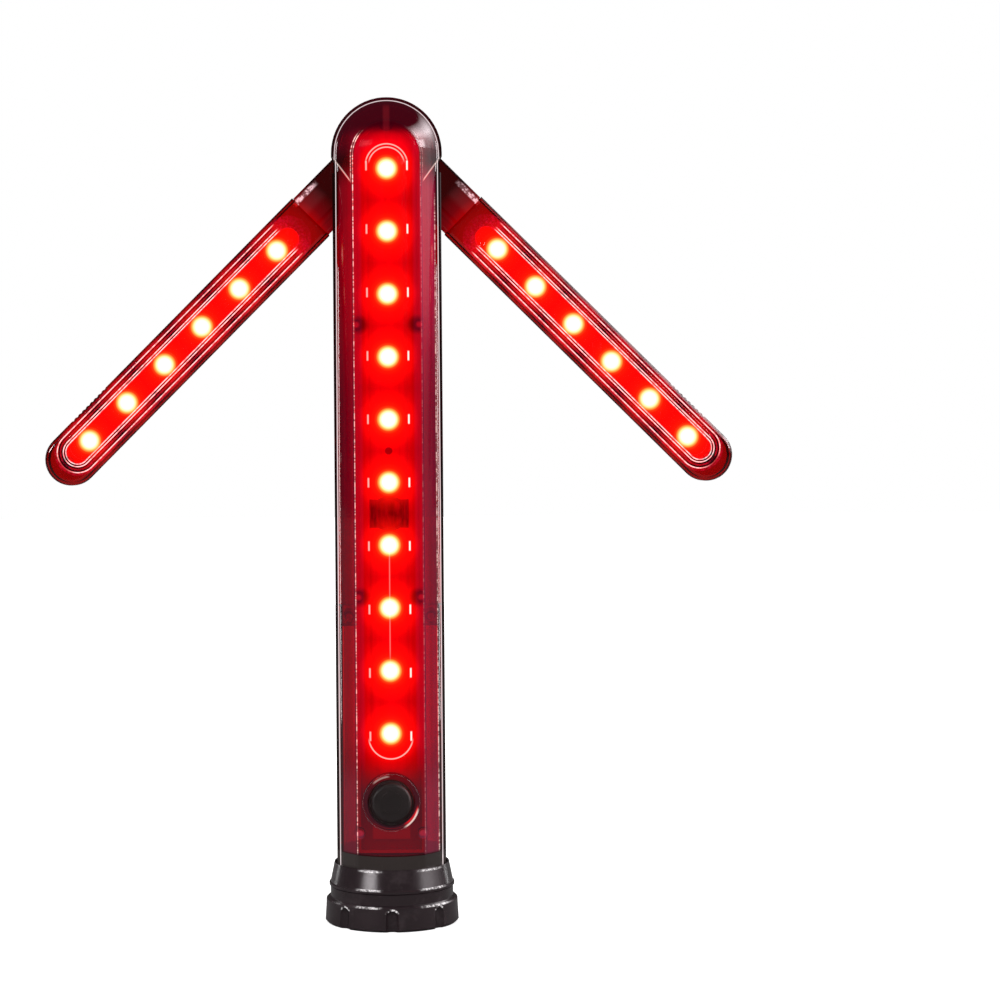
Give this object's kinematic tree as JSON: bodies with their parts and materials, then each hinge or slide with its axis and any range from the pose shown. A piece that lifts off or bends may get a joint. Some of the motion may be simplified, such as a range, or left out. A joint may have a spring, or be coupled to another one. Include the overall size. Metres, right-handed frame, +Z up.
{
  "type": "traffic baton light",
  "caption": "Clear red hand baton light on a magnetic screw-on foot, with lit arms that fold out of its sides to make an arrow.",
  "frame": {"origin": "centre of the flat foot, on the floor the baton stands on", "axes": "+Z up along the baton to its dome, -Y the lit front with the button, +X the viewer's right when facing the front"},
  "size_m": [0.2744, 0.0532, 0.3288],
  "materials": {
    "clear_red": "clear",
    "reflector_red": "gloss",
    "board_red": "satin",
    "led_resin": "clear",
    "screw_steel": "satin",
    "yoke_steel": "satin",
    "spring_steel": "polished",
    "black_plastic": "matte",
    "black_rubber": "matte",
    "magnet_plating": "satin",
    "switch_white": "matte",
    "cell_wrap": "gloss",
    "contact_brass": "satin",
    "washer_nylon": "satin"
  },
  "bodies": {
    "case": {"front_shell": "clear_red", "rear_shell": "clear_red", "chassis": "clear_red", "light_tray": "reflector_red", "main_board": "board_red", "main_leds": "led_resin", "tray_screws": "screw_steel", "case_screws": "screw_steel", "magnet_holder": "black_plastic", "latch_magnet": "magnet_plating", "locating_peg": "black_plastic", "button_gasket": "black_rubber", "switch_body": "black_plastic", "battery_tube": "clear_red", "battery_carrier": "black_plastic", "battery_cells": "cell_wrap", "carrier_contacts": "contact_brass", "top_contact": "contact_brass", "base_collar": "black_plastic", "collar_seal": "black_rubber", "left_hinge_pin": "spring_steel", "left_pin_clip": "spring_steel", "left_hinge_washers": "washer_nylon", "right_hinge_pin": "spring_steel", "right_pin_clip": "spring_steel", "right_hinge_washers": "washer_nylon"},
    "left_arm": {"left_arm_front": "clear_red", "left_arm_back": "clear_red", "left_arm_knuckle": "clear_red", "left_arm_tray": "reflector_red", "left_arm_board": "board_red", "left_arm_leds": "led_resin", "left_arm_screws": "screw_steel", "left_arm_keeper": "yoke_steel"},
    "right_arm": {"right_arm_front": "clear_red", "right_arm_back": "clear_red", "right_arm_knuckle": "clear_red", "right_arm_tray": "reflector_red", "right_arm_board": "board_red", "right_arm_leds": "led_resin", "right_arm_screws": "screw_steel", "right_arm_keeper": "yoke_steel"},
    "button": {"power_button": "black_rubber"},
    "switch_stem": {"switch_plunger": "switch_white"},
    "cap_insert": {"contact_disc": "black_plastic", "contact_spring": "spring_steel"},
    "cap": {"base_cap": "black_plastic", "foot_pad": "black_rubber", "magnet_yoke": "yoke_steel", "base_magnet": "magnet_plating"}
  },
  "joints": [
    {"name": "right_arm_fold", "type": "hinge", "parent": "case", "child": "right_arm", "pos_m": [0.01125, 0, 0.3005], "axis": [0, 1, 0], "range_deg": [0, 45]},
    {"name": "left_arm_fold", "type": "hinge", "parent": "case", "child": "left_arm", "pos_m": [-0.01125, 0, 0.3005], "axis": [0, -1, 0], "range_deg": [0, 45]},
    {"name": "button_press", "type": "slide", "parent": "case", "child": "button", "axis": [0, 1, 0], "range_m": [0, 0.001], "stiffness_N_per_m": 900, "springref_m": -0.0005},
    {"name": "switch_press", "type": "slide", "parent": "case", "child": "switch_stem", "axis": [0, 1, 0], "range_m": [0, 0.0005]},
    {"name": "cap_travel", "type": "slide", "parent": "case", "child": "cap_insert", "axis": [0, 0, -1], "range_m": [0, 0.005]},
    {"name": "cap_unscrew", "type": "hinge", "parent": "cap_insert", "child": "cap", "pos_m": [0, 0, 0], "axis": [0, 0, -1], "range_deg": [0, 720]}
  ],
  "couplings": [
    {"joint": "switch_press", "follows": "button_press", "ratio": 0.5},
    {"joint": "cap_travel", "follows": "cap_unscrew", "m_per_rad": 0.00039789}
  ]
}
